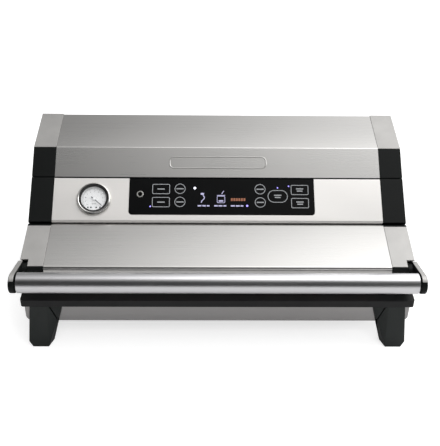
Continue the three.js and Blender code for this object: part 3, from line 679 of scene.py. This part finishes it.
def make_base():
    refined("base_tray", "black_base", bevel=0.9 * MM)
    for side in SIDES:
        refined(f"front_leg_{side}", "leg_plastic", bevel=0.35 * MM, crease=20)
        refined(f"rear_foot_{side}", "black_rubber", bevel=1.2 * MM, segments=4)
        refined(f"striker_{side}", "zinc_plate", bevel=0.3 * MM)
        refined(f"hinge_bracket_{side}", "zinc_plate", bevel=0.3 * MM)
    refined("seal_bar", "motor_steel", bevel=0.4 * MM)
    refined("heating_element", "heater_strip", bevel=0.1 * MM)
    refined("sealing_tape", "tape_cloth", bevel=0.12 * MM)
    refined("lid_frame", "black_base", bevel=0.5 * MM)


# ---- gauge

def make_gauge():
    low, high = GAUGE.span("gauge_bezel")
    rim, foot, crest = high[0], low[2], high[2]
    inner = GAUGE.span("gauge_glass")[1][0] + 0.3 * MM
    bezel = rounded_profile([(inner, foot), (rim, foot), (rim, foot + 1.3 * MM),
                             (rim - 1.4 * MM, crest - 0.5 * MM), (rim - 2.3 * MM, crest),
                             (rim - 3.1 * MM, crest - 0.5 * MM),
                             (inner, crest - 1.9 * MM)], 0.8 * MM)
    turned("fine_gauge_bezel", bezel, 144, GAUGE.place, "bezel_chrome", crease=60)
    # A black ring over the bezel's inner slope: a rubber liner that also stands in as painted shade cast by
    # the bezel's inner wall.
    shade_ring = rounded_profile([(inner - 0.2 * MM, crest - 2.3 * MM), (rim - 3.1 * MM, crest - 1.6 * MM),
                             (rim - 3.1 * MM, crest - 0.4 * MM),
                             (inner - 0.2 * MM, crest - 1.2 * MM)], 0.2 * MM)
    turned("gauge_liner", shade_ring, 120, GAUGE.place, "black_rubber", crease=60)
    refined("gauge_case", "zinc_plate", bevel=0.3 * MM)

    glass_low, glass_high = GAUGE.span("gauge_glass")
    reach = np.linspace(1, 0, 12) * glass_high[0]
    dome = np.stack([reach, glass_high[2] - 0.35 * MM * (reach / glass_high[0]) ** 2], axis=1)
    lens = np.vstack([[(0, glass_low[2]), (glass_high[0], glass_low[2])], dome])
    turned("fine_gauge_glass", lens, 96, GAUGE.place, "gauge_window", crease=50)
    refined("gauge_dial", "dial_white", bevel=0.1 * MM)
    make_dial_print(GAUGE.span("gauge_dial")[1][2], inner - 0.8 * MM)
    make_needle()


SWEEP_START, SWEEP = -40, 260    # degrees, anticlockwise from across


def bars(slope, rows, low, high):
    """Thin printed bars: across, up, turn in radians, half length and half width, in millimetres."""
    rows = np.array(rows, float) * [MM, MM, 1, MM, MM]
    along = np.stack([np.cos(rows[:, 2]), np.sin(rows[:, 2])], axis=1)
    beside = np.stack([-along[:, 1], along[:, 0]], axis=1)
    signs = np.array([(-1, -1), (1, -1), (1, 1), (-1, 1)])
    flat = (rows[:, None, :2] + signs[None, :, :1] * along[:, None] * rows[:, None, 3:4]
            + signs[None, :, 1:] * beside[:, None] * rows[:, None, 4:5])
    print_job = Gather()
    for outline in flat:
        print_job.grid(slope.place(np.stack([lifted(outline, low), lifted(outline, high)])), capped=True)
    return print_job


def make_dial_print(face, reach):
    """Ticks round the sweep, numbers at every tenth of it, and four marks in the gap below."""
    low, high = face - 0.02 * MM, face + 0.05 * MM
    angles = np.radians(SWEEP_START + np.linspace(0, SWEEP, 51))
    rows = []
    for step, angle in enumerate(angles):
        half, width = (1.0, 0.13) if step % 5 == 0 else (0.55, 0.07)
        middle = reach / MM - 0.4 - half
        rows.append((middle * math.cos(angle), middle * math.sin(angle), angle, half, width))
    rows += [(across, -9.8, 0, 0.95, 0.95) for across in (-6.6, -3.2, 3.0, 7.2)]
    rows.append((0, -5.4, 0, 2.4, 0.3))
    bars(GAUGE, rows, low, high).make("dial_ticks", "dial_ink", slot="needle_black")
    arc = GAUGE.place(frame_band(circle(reach, 120), circle(reach - 0.25 * MM, 120), low, high))
    Gather().grid(arc).make("dial_ring", "dial_ink", slot="needle_black")
    numbers = [(str(step), (reach - 4.1 * MM) * math.cos(angle), (reach - 4.1 * MM) * math.sin(angle))
               for step, angle in enumerate(angles[::5])]
    lettering("dial_numbers", numbers, 2.3 * MM, GAUGE, low, high)


def lettering(name, words, size, slope, low, high):
    """Numbers set as flat text, made into a mesh and then laid on a slope."""
    work = Gather()
    for word, across, up in words:
        curve = bpy.data.curves.new(name, "FONT")
        curve.body, curve.size = word, size
        curve.extrude = (high - low) / 2
        curve.align_x, curve.align_y = "CENTER", "CENTER"
        text = bpy.data.objects.new(name, curve)
        bpy.context.scene.collection.objects.link(text)
        bpy.context.view_layer.update()
        mesh = bpy.data.meshes.new_from_object(text.evaluated_get(bpy.context.evaluated_depsgraph_get()))
        bpy.data.objects.remove(text)
        flat = np.empty(len(mesh.vertices) * 3)
        mesh.vertices.foreach_get("co", flat)
        local = flat.reshape(-1, 3) + [across, up, (low + high) / 2]
        work.points.append(slope.place(local))
        work.faces += [[v + work.count for v in face.vertices] for face in mesh.polygons]
        work.count += len(local)
    work.make(name, "dial_ink", slot="needle_black")


def make_needle():
    """A tapered pointer with a counterweight tail, and a domed hub over the spindle."""
    angle = math.radians(SWEEP_START)
    cos, sin = math.cos(angle), math.sin(angle)
    spin = np.array([[cos, sin, 0], [-sin, cos, 0], [0, 0, 1]])
    tip, tail = 12.2 * MM, 4.1 * MM
    outline = np.array([(tip, -0.22 * MM), (tip, 0.22 * MM), (1.2 * MM, 0.6 * MM), (-tail, 0.85 * MM),
                        (-tail, -0.85 * MM), (1.2 * MM, -0.6 * MM)])
    rings = [GAUGE.place(lifted(outline, height) @ spin) for height in (0.02 * MM, 0.45 * MM)]
    loft("fine_gauge_needle", rings, "needle_black", "needle", bevel=0.06 * MM)
    radius = 1.65 * MM
    turn = np.linspace(0, TURN / 4, 8)
    dome = np.stack([radius * np.cos(turn), 0.4 * MM + 0.58 * MM * np.sin(turn)], axis=1)
    dome[-1, 0] = 0
    hub = np.vstack([[(0, -0.6 * MM), (radius, -0.6 * MM)], dome])
    turned("needle_hub", hub, 48, GAUGE.place, "dial_white", "needle", crease=50)


# ---- touch display

# Keys by kind, with their middles in millimetres from the display's lower left corner.
KEYS = {
    "square": [(36.5, 31.2, 1), (36.5, 15.1, 1), (196.2, 30.7, 2), (196.2, 14.5, 2)],
    "disc": [(58.3, 31.6, 1), (58.3, 15.4, 1), (150.5, 31.4, 1), (150.5, 15.2, 1)],
    "pill": [(170.7, 22.7, 2)],
}
KEY_SIZES = {"square": (20.4, 12.4, 1.8), "disc": (12.6, 12.6, 6.3), "pill": (23.2, 15.4, 7.6)}
LINE = 0.85 * MM


def make_display():
    low, high = CONSOLE.span("display_panel")
    face = Slope(CONSOLE.place([low[0], low[1], high[2]]), CONSOLE.out)
    refined("display_panel", "display_black", bevel=0.25 * MM)
    bottom, top = -0.05 * MM, 0.06 * MM

    rims, words = Gather(), []
    for kind, keys in KEYS.items():
        width, height, corner = (value * MM for value in KEY_SIZES[kind])
        for across, up, lines in keys:
            centre = (across * MM, up * MM)
            outer = round_rectangle(width, height, corner, 10, centre)
            inner = round_rectangle(width - 2 * LINE, height - 2 * LINE, corner - LINE, 10, centre)
            rims.grid(face.place(frame_band(outer, inner, bottom, top)))
            for line in range(lines):
                words.append((across, up + (lines - 1 - 2 * line) * 1.35, 0, 4.2 - 0.9 * line, 0.72))
    rims.make("key_rims", "legend_grey", slot="display_black")
    bars(face, words, bottom, top).make("key_legends", "legend_grey", slot="display_black")

    lit = [(across, 10.8, 0, half, 0.8) for across, half in (
        (80.8, 2.2), (86.0, 2.0), (90.6, 1.6), (99.6, 2.1), (104.8, 2.2), (109.8, 1.7), (119.0, 2.4),
        (124.6, 2.2), (129.4, 1.6))]
    bars(face, lit, bottom, top).make("function_labels", "legend_white", slot="display_black")
    cells = [(117.8 + 2.9 * step, 18.5, 0, 1.1, 1.7) for step in range(6)]
    bars(face, cells, bottom, top).make("level_cells", "lamp_amber", slot="display_black")
    make_symbols(face, bottom, top)
    make_lamps(face, bottom, top)
    make_port()


def make_symbols(face, bottom, top):
    """A hose that curls down from a nozzle, and a jar with a straw."""
    t = np.linspace(0, 1, 24)
    curl = np.stack([84.6 + 1.7 * np.sin(TURN * 0.8 * t), 23.6 - 9.0 * t], axis=1) * MM
    slant = np.gradient(curl, axis=0)
    slant /= np.linalg.norm(slant, axis=1, keepdims=True)
    beside = np.stack([-slant[:, 1], slant[:, 0]], axis=1) * 0.55 * MM
    outline = np.vstack([curl + beside, (curl - beside)[::-1]])
    symbols = bars(face, [(84.0, 25.4, 0, 1.9, 1.2), (107.4, 27.2, 1.0, 2.2, 0.4), (105.4, 23.6, 0, 4.6, 0.4),
                          (105.4, 16.8, 0, 2.6, 0.9)], bottom, top)
    symbols.grid(face.place(np.stack([lifted(outline, bottom), lifted(outline, top)])), capped=True)
    glass = round_rectangle(9.4 * MM, 8.6 * MM, 1.5 * MM, 8, (105.4 * MM, 18.6 * MM))
    inside = round_rectangle(8.2 * MM, 7.4 * MM, 0.9 * MM, 8, (105.4 * MM, 18.6 * MM))
    symbols.grid(face.place(frame_band(glass, inside, bottom, top)))
    symbols.make("function_symbols", "legend_white", slot="display_black")


def make_lamps(face, bottom, top):
    violet = [(24.5, 9.8, 0.9), (170.7, 33.3, 0.8), (183.6, 35.2, 0.8), (135.4, 10.9, 1.2)]
    for kind, lamps in (("lamp_white", [(75.3, 32.5, 1.5)]), ("lamp_violet", violet)):
        work = Gather()
        for across, up, radius in lamps:
            disc = circle(radius * MM, 28, centre=(across * MM, up * MM))
            work.grid(face.place(np.stack([lifted(disc, bottom), lifted(disc, top)])), capped=True)
        work.make("lamps_" + kind, kind, slot="display_black")


def make_port():
    low, high = CONSOLE.span("accessory_port")
    middle = (low + high) / 2
    outer = (high[0] - low[0]) / 2
    place = turned_frame(CONSOLE.place([middle[0], middle[1], 0]), CONSOLE.out)
    barrel, bore = outer - 0.8 * MM, outer - 1.5 * MM
    ring = rounded_profile([(bore, low[2]), (barrel, low[2]), (barrel, 0.8 * MM), (outer, 0.8 * MM),
                            (outer, high[2] - 0.4 * MM), (outer - 0.4 * MM, high[2]),
                            (bore, high[2])], 0.2 * MM)
    turned("fine_accessory_port", ring, 72, place, "zinc_plate", crease=50)


# ---- handle

BAR_LOW, BAR_HIGH = corners("handle_tube")
BAR = (BAR_LOW + BAR_HIGH) / 2
BAR_RADIUS = (BAR_HIGH[2] - BAR_LOW[2]) / 2
BAR_END = BAR_HIGH[0]
ARM_SPLAY = 0.055
ARM_BACK, ARM_FRONT = 10.25 * MM, BAR_RADIUS + 0.1 * MM    # the arm's radii round the pivot and the bar
ARM_THICK = 6.6 * MM


def link(first, radius_1, second, radius_2, steps=40):
    """Two discs in the side plane and the two lines that touch both."""
    gap = np.array(second) - np.array(first)
    lean = math.atan2(gap[1], gap[0])
    opening = math.acos((radius_1 - radius_2) / np.linalg.norm(gap))
    back = circle(radius_1, steps, lean + opening, TURN - 2 * opening, first)
    ahead = circle(radius_2, steps, lean - opening, 2 * opening, second)
    return np.vstack([back, ahead])


def across_x(outline, x):
    """A side outline of [y, z] points at one place across."""
    return np.column_stack([np.full(len(outline), x), outline])


def splayed(outline, x, sign):
    """A side outline of an arm at one place across: the arm leans outwards towards the bar."""
    ring = across_x(outline, x)
    ring[:, 0] -= ARM_SPLAY * (ring[:, 1] - BAR[1] - BAR_RADIUS)
    return ring * [sign, 1, 1]


def about_x(axis):
    """A placing function whose local Z is the line along X through a point."""
    return turned_frame((0, axis[1], axis[2]), (1, 0, 0))


def make_arm_plate(side, sign, x0, x1):
    """A thin silver plate along the arm's upper edge, from over the pivot to over the bar: a painted
    highlight for the overhead light's sheen on the arm.
    """
    gap = BAR[1:] - PIVOT[1:]
    lean = math.atan2(gap[1], gap[0])
    opening = math.acos((ARM_BACK - ARM_FRONT) / np.linalg.norm(gap))
    upper = lean - opening
    band = []
    for lift in (0.35 * MM, -0.6 * MM):
        back = circle(ARM_BACK + lift, 10, upper - 0.5, 0.5, PIVOT[1:])
        ahead = circle(ARM_FRONT + lift, 16, upper, 1.0, BAR[1:])
        band.append(np.vstack([back, ahead]))
    outline = np.vstack([band[0], band[1][::-1]])
    rings = [splayed(outline, x, sign) for x in (x0, x1)]
    loft(f"arm_plate_{side}", rings, "silver_trim", "handle", bevel=0.25 * MM, crease=40)


def make_arm(side, sign):
    """A flat arm with eased edges, leaning outwards to the bar, with its hub, bar plug and hook."""
    inner, thick, ease = BAR_END + 0.3 * MM, ARM_THICK, 1.6 * MM
    turn = np.linspace(0, TURN / 4, 7)
    steps = [(ease * (1 - math.sin(t)), ease * (1 - math.cos(t))) for t in turn]
    profile = [(inset, inner + rise) for inset, rise in steps]
    profile += [(inset, inner + thick - rise) for inset, rise in steps[::-1]]
    rings = []
    for inset, x in profile:
        outline = link(PIVOT[1:], ARM_BACK - inset, BAR[1:], ARM_FRONT - inset)
        rings.append(splayed(outline, x, sign))
    loft(f"fine_handle_arm_{side}", rings, "black_caps", "handle", crease=50)
    # The silver plate along the arm's upper edge is a painted highlight.
    make_arm_plate(side, sign, inner + 0.9 * MM, inner + thick - 0.9 * MM)

    pin = 3.3 * MM
    hub = rounded_profile([(pin, 206.5 * MM), (8.5 * MM, 206.5 * MM), (8.5 * MM, inner + 0.6 * MM),
                           (pin, inner + 0.6 * MM)], 0.5 * MM)
    hub[:, 1] *= sign
    turned(f"arm_hub_{side}", hub, 64, about_x(PIVOT), "black_caps", "handle", crease=50)
    plug_radius = BAR_RADIUS - 2.3 * MM
    start, end = inner - 12 * MM, inner + 0.6 * MM
    plug = np.array([(0, start), (plug_radius - 0.8 * MM, start), (plug_radius, start + 1 * MM),
                     (plug_radius, end), (0, end)])
    plug[:, 1] *= sign
    turned(f"bar_plug_{side}", plug, 64, about_x(BAR), "black_caps", "handle")
    degrees = TURN / 360
    claw = np.vstack([circle(21.6 * MM, 18, -126 * degrees, 38 * degrees, PIVOT[1:]),
                      circle(18.4 * MM, 14, -88 * degrees, -26 * degrees, PIVOT[1:]),
                      circle(7.5 * MM, 5, -106 * degrees, -28 * degrees, PIVOT[1:])])
    rings = [across_x(claw, x * sign) for x in (207.3 * MM, 211.3 * MM)]
    loft(f"latch_hook_{side}", rings, "zinc_plate", "handle", bevel=0.35 * MM)


def make_handle():
    wall = 2 * MM
    tube = rounded_profile([(BAR_RADIUS - wall, -BAR_END), (BAR_RADIUS, -BAR_END), (BAR_RADIUS, BAR_END),
                            (BAR_RADIUS - wall, BAR_END)], 0.6 * MM)
    turned("fine_handle_tube", tube, 128, about_x(BAR), "bar_tube", "handle", crease=50)
    for side, sign in SIDES.items():
        make_arm(side, sign)
        make_pin(f"handle_pivot_pin_{side}", PIVOT)
        make_pin(f"lid_hinge_pin_{side}", HINGE)
        make_spring(side)


def make_pin(name, axis):
    """A ground pin with chamfered ends."""
    low, high = corners(name)
    radius, ease = (high[2] - low[2]) / 2, 0.5 * MM
    profile = [(0, low[0]), (radius - ease, low[0]), (radius, low[0] + ease), (radius, high[0] - ease),
               (radius - ease, high[0]), (0, high[0])]
    turned("fine_" + name, profile, 48, about_x(axis), "motor_steel", "lid")


def make_spring(side):
    """Three turns of round wire about the handle's axis."""
    low, high = corners(f"handle_spring_{side}")
    wire, turns = 0.55 * MM, 3
    radius = (high[2] - low[2]) / 2 - wire
    turn = np.linspace(0, TURN * turns, 40 * turns)
    path = np.stack([np.linspace(low[0] + wire, high[0] - wire, len(turn)), PIVOT[1] + radius * np.cos(turn),
                     PIVOT[2] + radius * np.sin(turn)], axis=1)
    loft(f"fine_handle_spring_{side}", tube_along(path, wire, 12), "motor_steel", "lid", crease=60)


# ---- seals

def make_gasket(name, body):
    """A foam ring: a round-edged section carried round a round-cornered rectangle."""
    low, high = corners(name)
    size, middle, band = high - low, (low + high) / 2, 6 * MM
    reach = 1.6 * MM
    section = rounded_profile([(0, low[2]), (0, high[2]), (-band, high[2]), (-band, low[2])], reach)
    corner = band + 2 * MM
    loops = [lifted(round_rectangle(*(size[:2] + 2 * out), corner + out, 10, middle[:2]), level)
             for out, level in section]
    Gather().grid(np.array(loops)).make("fine_" + name, "gasket_foam", body, crease=60)


def make_pressure_strip():
    """A silicone strip with three rounded ribs along its underside."""
    low, high = corners("pressure_strip")
    across = np.linspace(low[1], high[1], 49)
    share = (across - low[1]) / (high[1] - low[1])
    ribs = low[2] + 0.45 * MM * (1 + np.cos(TURN * 3 * share)) / 2 + 0.5 * MM * np.abs(2 * share - 1) ** 6
    outline = np.vstack([np.stack([across, ribs], axis=1), [(high[1], high[2]), (low[1], high[2])]])
    rings = [across_x(outline, x) for x in (low[0], high[0])]
    loft("fine_pressure_strip", rings, "silicone_strip", "lid", crease=50)


# ---- inside and rear

def make_inside():
    for name, finish, edge in (("control_board", "circuit_board", 0.15), ("fan_frame", "black_base", 0.4),
                               ("vacuum_pump", "pump_metal", 0.8), ("pump_motor", "motor_steel", 0.6),
                               ("transformer", "core_iron", 0.4), ("power_inlet", "black_base", 0.3),
                               ("switch_frame", "black_base", 0.3), ("power_rocker", "black_caps", 0.5)):
        refined(name, finish, bevel=edge * MM)
    for name in ("vacuum_hose", "gauge_tube"):
        refined(name, "black_rubber", bevel=0, crease=80, smooth=2)
    make_fan()


def make_fan():
    """Seven curved blades, each an aerofoil section that twists from root to tip, on a cupped hub."""
    low, high = corners("cooling_fan")
    hub_radius, tip_radius = 10.3 * MM, min((high - low)[[0, 2]]) / 2 - 0.2 * MM
    place = turned_frame(FAN_CENTRE, (0, 1, 0))
    front, back = low[1] - FAN_CENTRE[1], high[1] - FAN_CENTRE[1]
    work = Gather()
    around = TURN * np.arange(16) / 16
    for blade in range(7):
        rings = []
        for share in np.linspace(0, 1, 9):
            radius = hub_radius - 0.8 * MM + share * (tip_radius - hub_radius + 0.8 * MM)
            pitch = math.radians(52 - 22 * share)
            chord, thick = (5.4 + 2.6 * share) * MM, (0.75 - 0.3 * share) * MM
            along = chord * np.cos(around)
            camber = 1.1 * MM * (1 - np.cos(around) ** 2)
            proud = thick * np.sin(around) + camber
            swirl = (along * math.cos(pitch) - proud * math.sin(pitch)) / radius
            angle = TURN * blade / 7 + swirl + 0.25 * share
            level = (along * math.sin(pitch) + proud * math.cos(pitch)) * 0.62 + (front + back) / 2
            level = np.clip(level, front + 0.1 * MM, back - 0.1 * MM)
            rings.append(np.stack([radius * np.cos(angle), radius * np.sin(angle), level], axis=1))
        work.grid(place(np.array(rings)), capped=True)
    work.make("fine_cooling_fan", "black_base", "fan", crease=50)
    ease = 1.2 * MM
    cup = [(0, front), (hub_radius - ease, front), (hub_radius, front + ease), (hub_radius, back - ease),
           (hub_radius - ease, back), (hub_radius - 3 * MM, back), (hub_radius - 3.4 * MM, back - 0.6 * MM),
           (0, back - 0.6 * MM)]
    turned("fan_hub", cup, 72, place, "black_caps", "fan", crease=40)


def screw_heads(name, places, axis, radius):
    """Pan heads with a cross recess: a dome over radius and turn, sunk where either arm of the cross runs."""
    rows, columns = 15, 40
    share, angle = np.meshgrid(np.linspace(1, 0, rows), TURN * np.arange(columns) / columns, indexing="ij")
    x, y = share * np.cos(angle), share * np.sin(angle)
    dome = 0.42 * np.sqrt(np.clip(1 - 0.9 * share ** 2, 0, 1))
    arms = np.maximum((np.abs(x) < 0.14) & (np.abs(y) < 0.55), (np.abs(y) < 0.14) & (np.abs(x) < 0.55))
    level = dome - 0.26 * arms
    top = np.stack([x, y, level], axis=-1) * radius
    foot = np.stack([x[:1], y[:1], np.zeros((1, columns))], axis=-1) * radius
    middle = np.zeros((1, columns, 3))
    head = np.vstack([middle, foot, top])
    work = Gather()
    for place in places:
        work.grid(turned_frame(place, axis)(head), wrap_u=False)
    work.make(name, "motor_steel", crease=40)


def make_screws():
    low, high = corners("rear_panel")
    x, y = high[0] - 7 * MM, high[1]
    levels = (low[2] + 7 * MM, high[2] - 7 * MM)
    screw_heads("rear_screws", [(across, y, z) for across in (-x, -40 * MM, 40 * MM, x) for z in levels],
                (0, 1, 0), 3 * MM)
    low, high = corners("bottom_plate")
    screw_heads("floor_screws", [(across * high[0] * 0.93, up, low[2]) for across in (-1, 0, 1)
                                 for up in (low[1] + 9 * MM, high[1] - 9 * MM)], (0, 0, -1), 3 * MM)
    low, high = corners("fan_frame")
    inset = 5 * MM
    screw_heads("fan_screws", [(across, low[1], z) for across in (low[0] + inset, high[0] - inset)
                               for z in (low[2] + inset, high[2] - inset)], (0, -1, 0), 2.4 * MM)


def make_rear_details():
    """Contact blades in the inlet, and the usual bar and ring on the rocker."""
    low, high = corners("power_inlet")
    middle = (low + high) / 2
    blades = Gather()
    for across, up in ((-7, -2), (0, 2), (7, -2)):
        centre = (middle[0] + across * MM, middle[2] + up * MM)
        outline = round_rectangle(2.2 * MM, 5.0 * MM, 0.5 * MM, 5, centre)
        rings = []
        for sunk, share in ((17.6, 1), (6.4, 1), (5.6, 0.7)):
            flat = (outline - outline.mean(axis=0)) * share + outline.mean(axis=0)
            rings.append(np.column_stack([flat[:, 0], np.full(len(flat), high[1] - sunk * MM), flat[:, 1]]))
        blades.grid(np.array(rings), capped=True)
    blades.make("inlet_blades", "motor_steel", crease=40)

    low, high = corners("power_rocker")
    x, y, z = (low[0] + high[0]) / 2, high[1], (low[2] + high[2]) / 2
    upper = Slope((x, y - 0.6 * MM, z + 3.5 * MM), (0, 7, 1.2))
    lower = Slope((x, y - 0.35 * MM, z - 3.5 * MM), (0, 7, -0.7))
    bars(lower, [(0, 0, TURN / 4, 1.7, 0.3)], -0.1 * MM, 0.06 * MM).make(
        "rocker_on_mark", "dial_white", "rocker")
    ring = frame_band(circle(1.8 * MM, 32), circle(1.25 * MM, 32), -0.1 * MM, 0.06 * MM)
    Gather().grid(upper.place(ring)).make("rocker_off_mark", "dial_white", "rocker")


make_sheet_metal()
# A black strip behind the hood's joint, standing in as painted shade.
make_joint_strip()
make_badge()
make_end_caps()
make_base()
make_gauge()
make_display()
make_handle()
make_gasket("lower_gasket", "housing")
make_gasket("upper_gasket", "lid")
make_pressure_strip()
make_inside()
make_screws()
make_rear_details()
